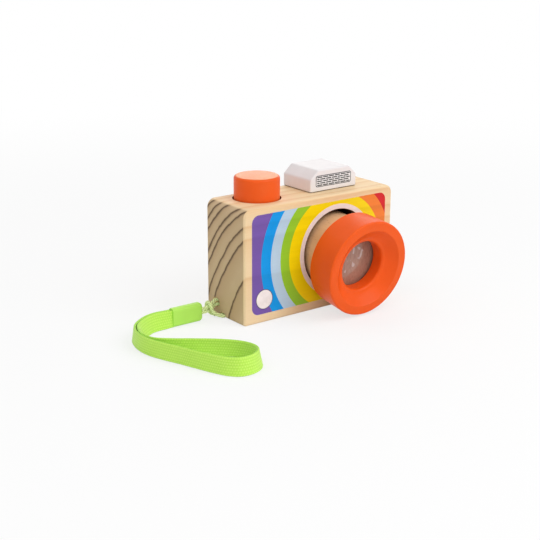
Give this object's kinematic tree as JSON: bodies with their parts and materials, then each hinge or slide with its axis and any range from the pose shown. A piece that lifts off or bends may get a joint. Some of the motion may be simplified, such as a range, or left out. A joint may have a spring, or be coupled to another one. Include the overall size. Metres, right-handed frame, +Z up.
{
  "type": "wooden toy camera",
  "caption": "Wooden block toy camera with a sprung shutter button, flash housing, turning lens with an orange hood and faceted disc, and a lime wrist strap.",
  "frame": {"origin": "middle of the block's flat underside", "axes": "+X along the block's width to the right of someone facing the lens, -Y out of the front face, +Z up"},
  "size_m": [0.1934, 0.1034, 0.0887],
  "materials": {
    "pine": "sanded bare pine with strong growth rings on the end grain, sealed matt",
    "beech": "turned natural hardwood, matt",
    "orange_lacquer": "opaque orange lacquer on turned wood, satin",
    "white_lacquer": "opaque white lacquer on wood, satin",
    "clear_acrylic": "clear polished acrylic with cut facets",
    "steel": "zinc plated steel",
    "lime_webbing": "woven lime polyester, rows of lengthwise ribs",
    "lime_sleeve": "soft lime plastic, smooth and matt"
  },
  "bodies": {
    "camera_body": {"body_block": "pine", "shutter_spring": "steel", "screw_plug": "beech", "flash_housing": "white_lacquer", "flash_dowel_left": "beech", "flash_dowel_right": "beech", "lens_peg": "beech", "strap_cord": "lime_webbing", "strap_sleeve": "lime_sleeve", "strap_webbing": "lime_webbing"},
    "shutter": {"shutter_button": "orange_lacquer", "shutter_washer": "steel", "shutter_screw": "steel"},
    "lens": {"lens_barrel": "beech", "lens_hood": "orange_lacquer", "lens_element": "clear_acrylic"}
  },
  "joints": [
    {"name": "shutter_press", "type": "slide", "parent": "camera_body", "child": "shutter", "axis": [0, 0, -1], "range_m": [0, 0.005], "stiffness_N_per_m": 300, "springref_m": -0.004, "deforming": ["shutter_spring"]},
    {"name": "lens_turn", "type": "hinge", "parent": "camera_body", "child": "lens", "pos_m": [0.0132, -0.02, 0.03588], "axis": [0, -0.9924, -0.1227], "continuous": true}
  ]
}
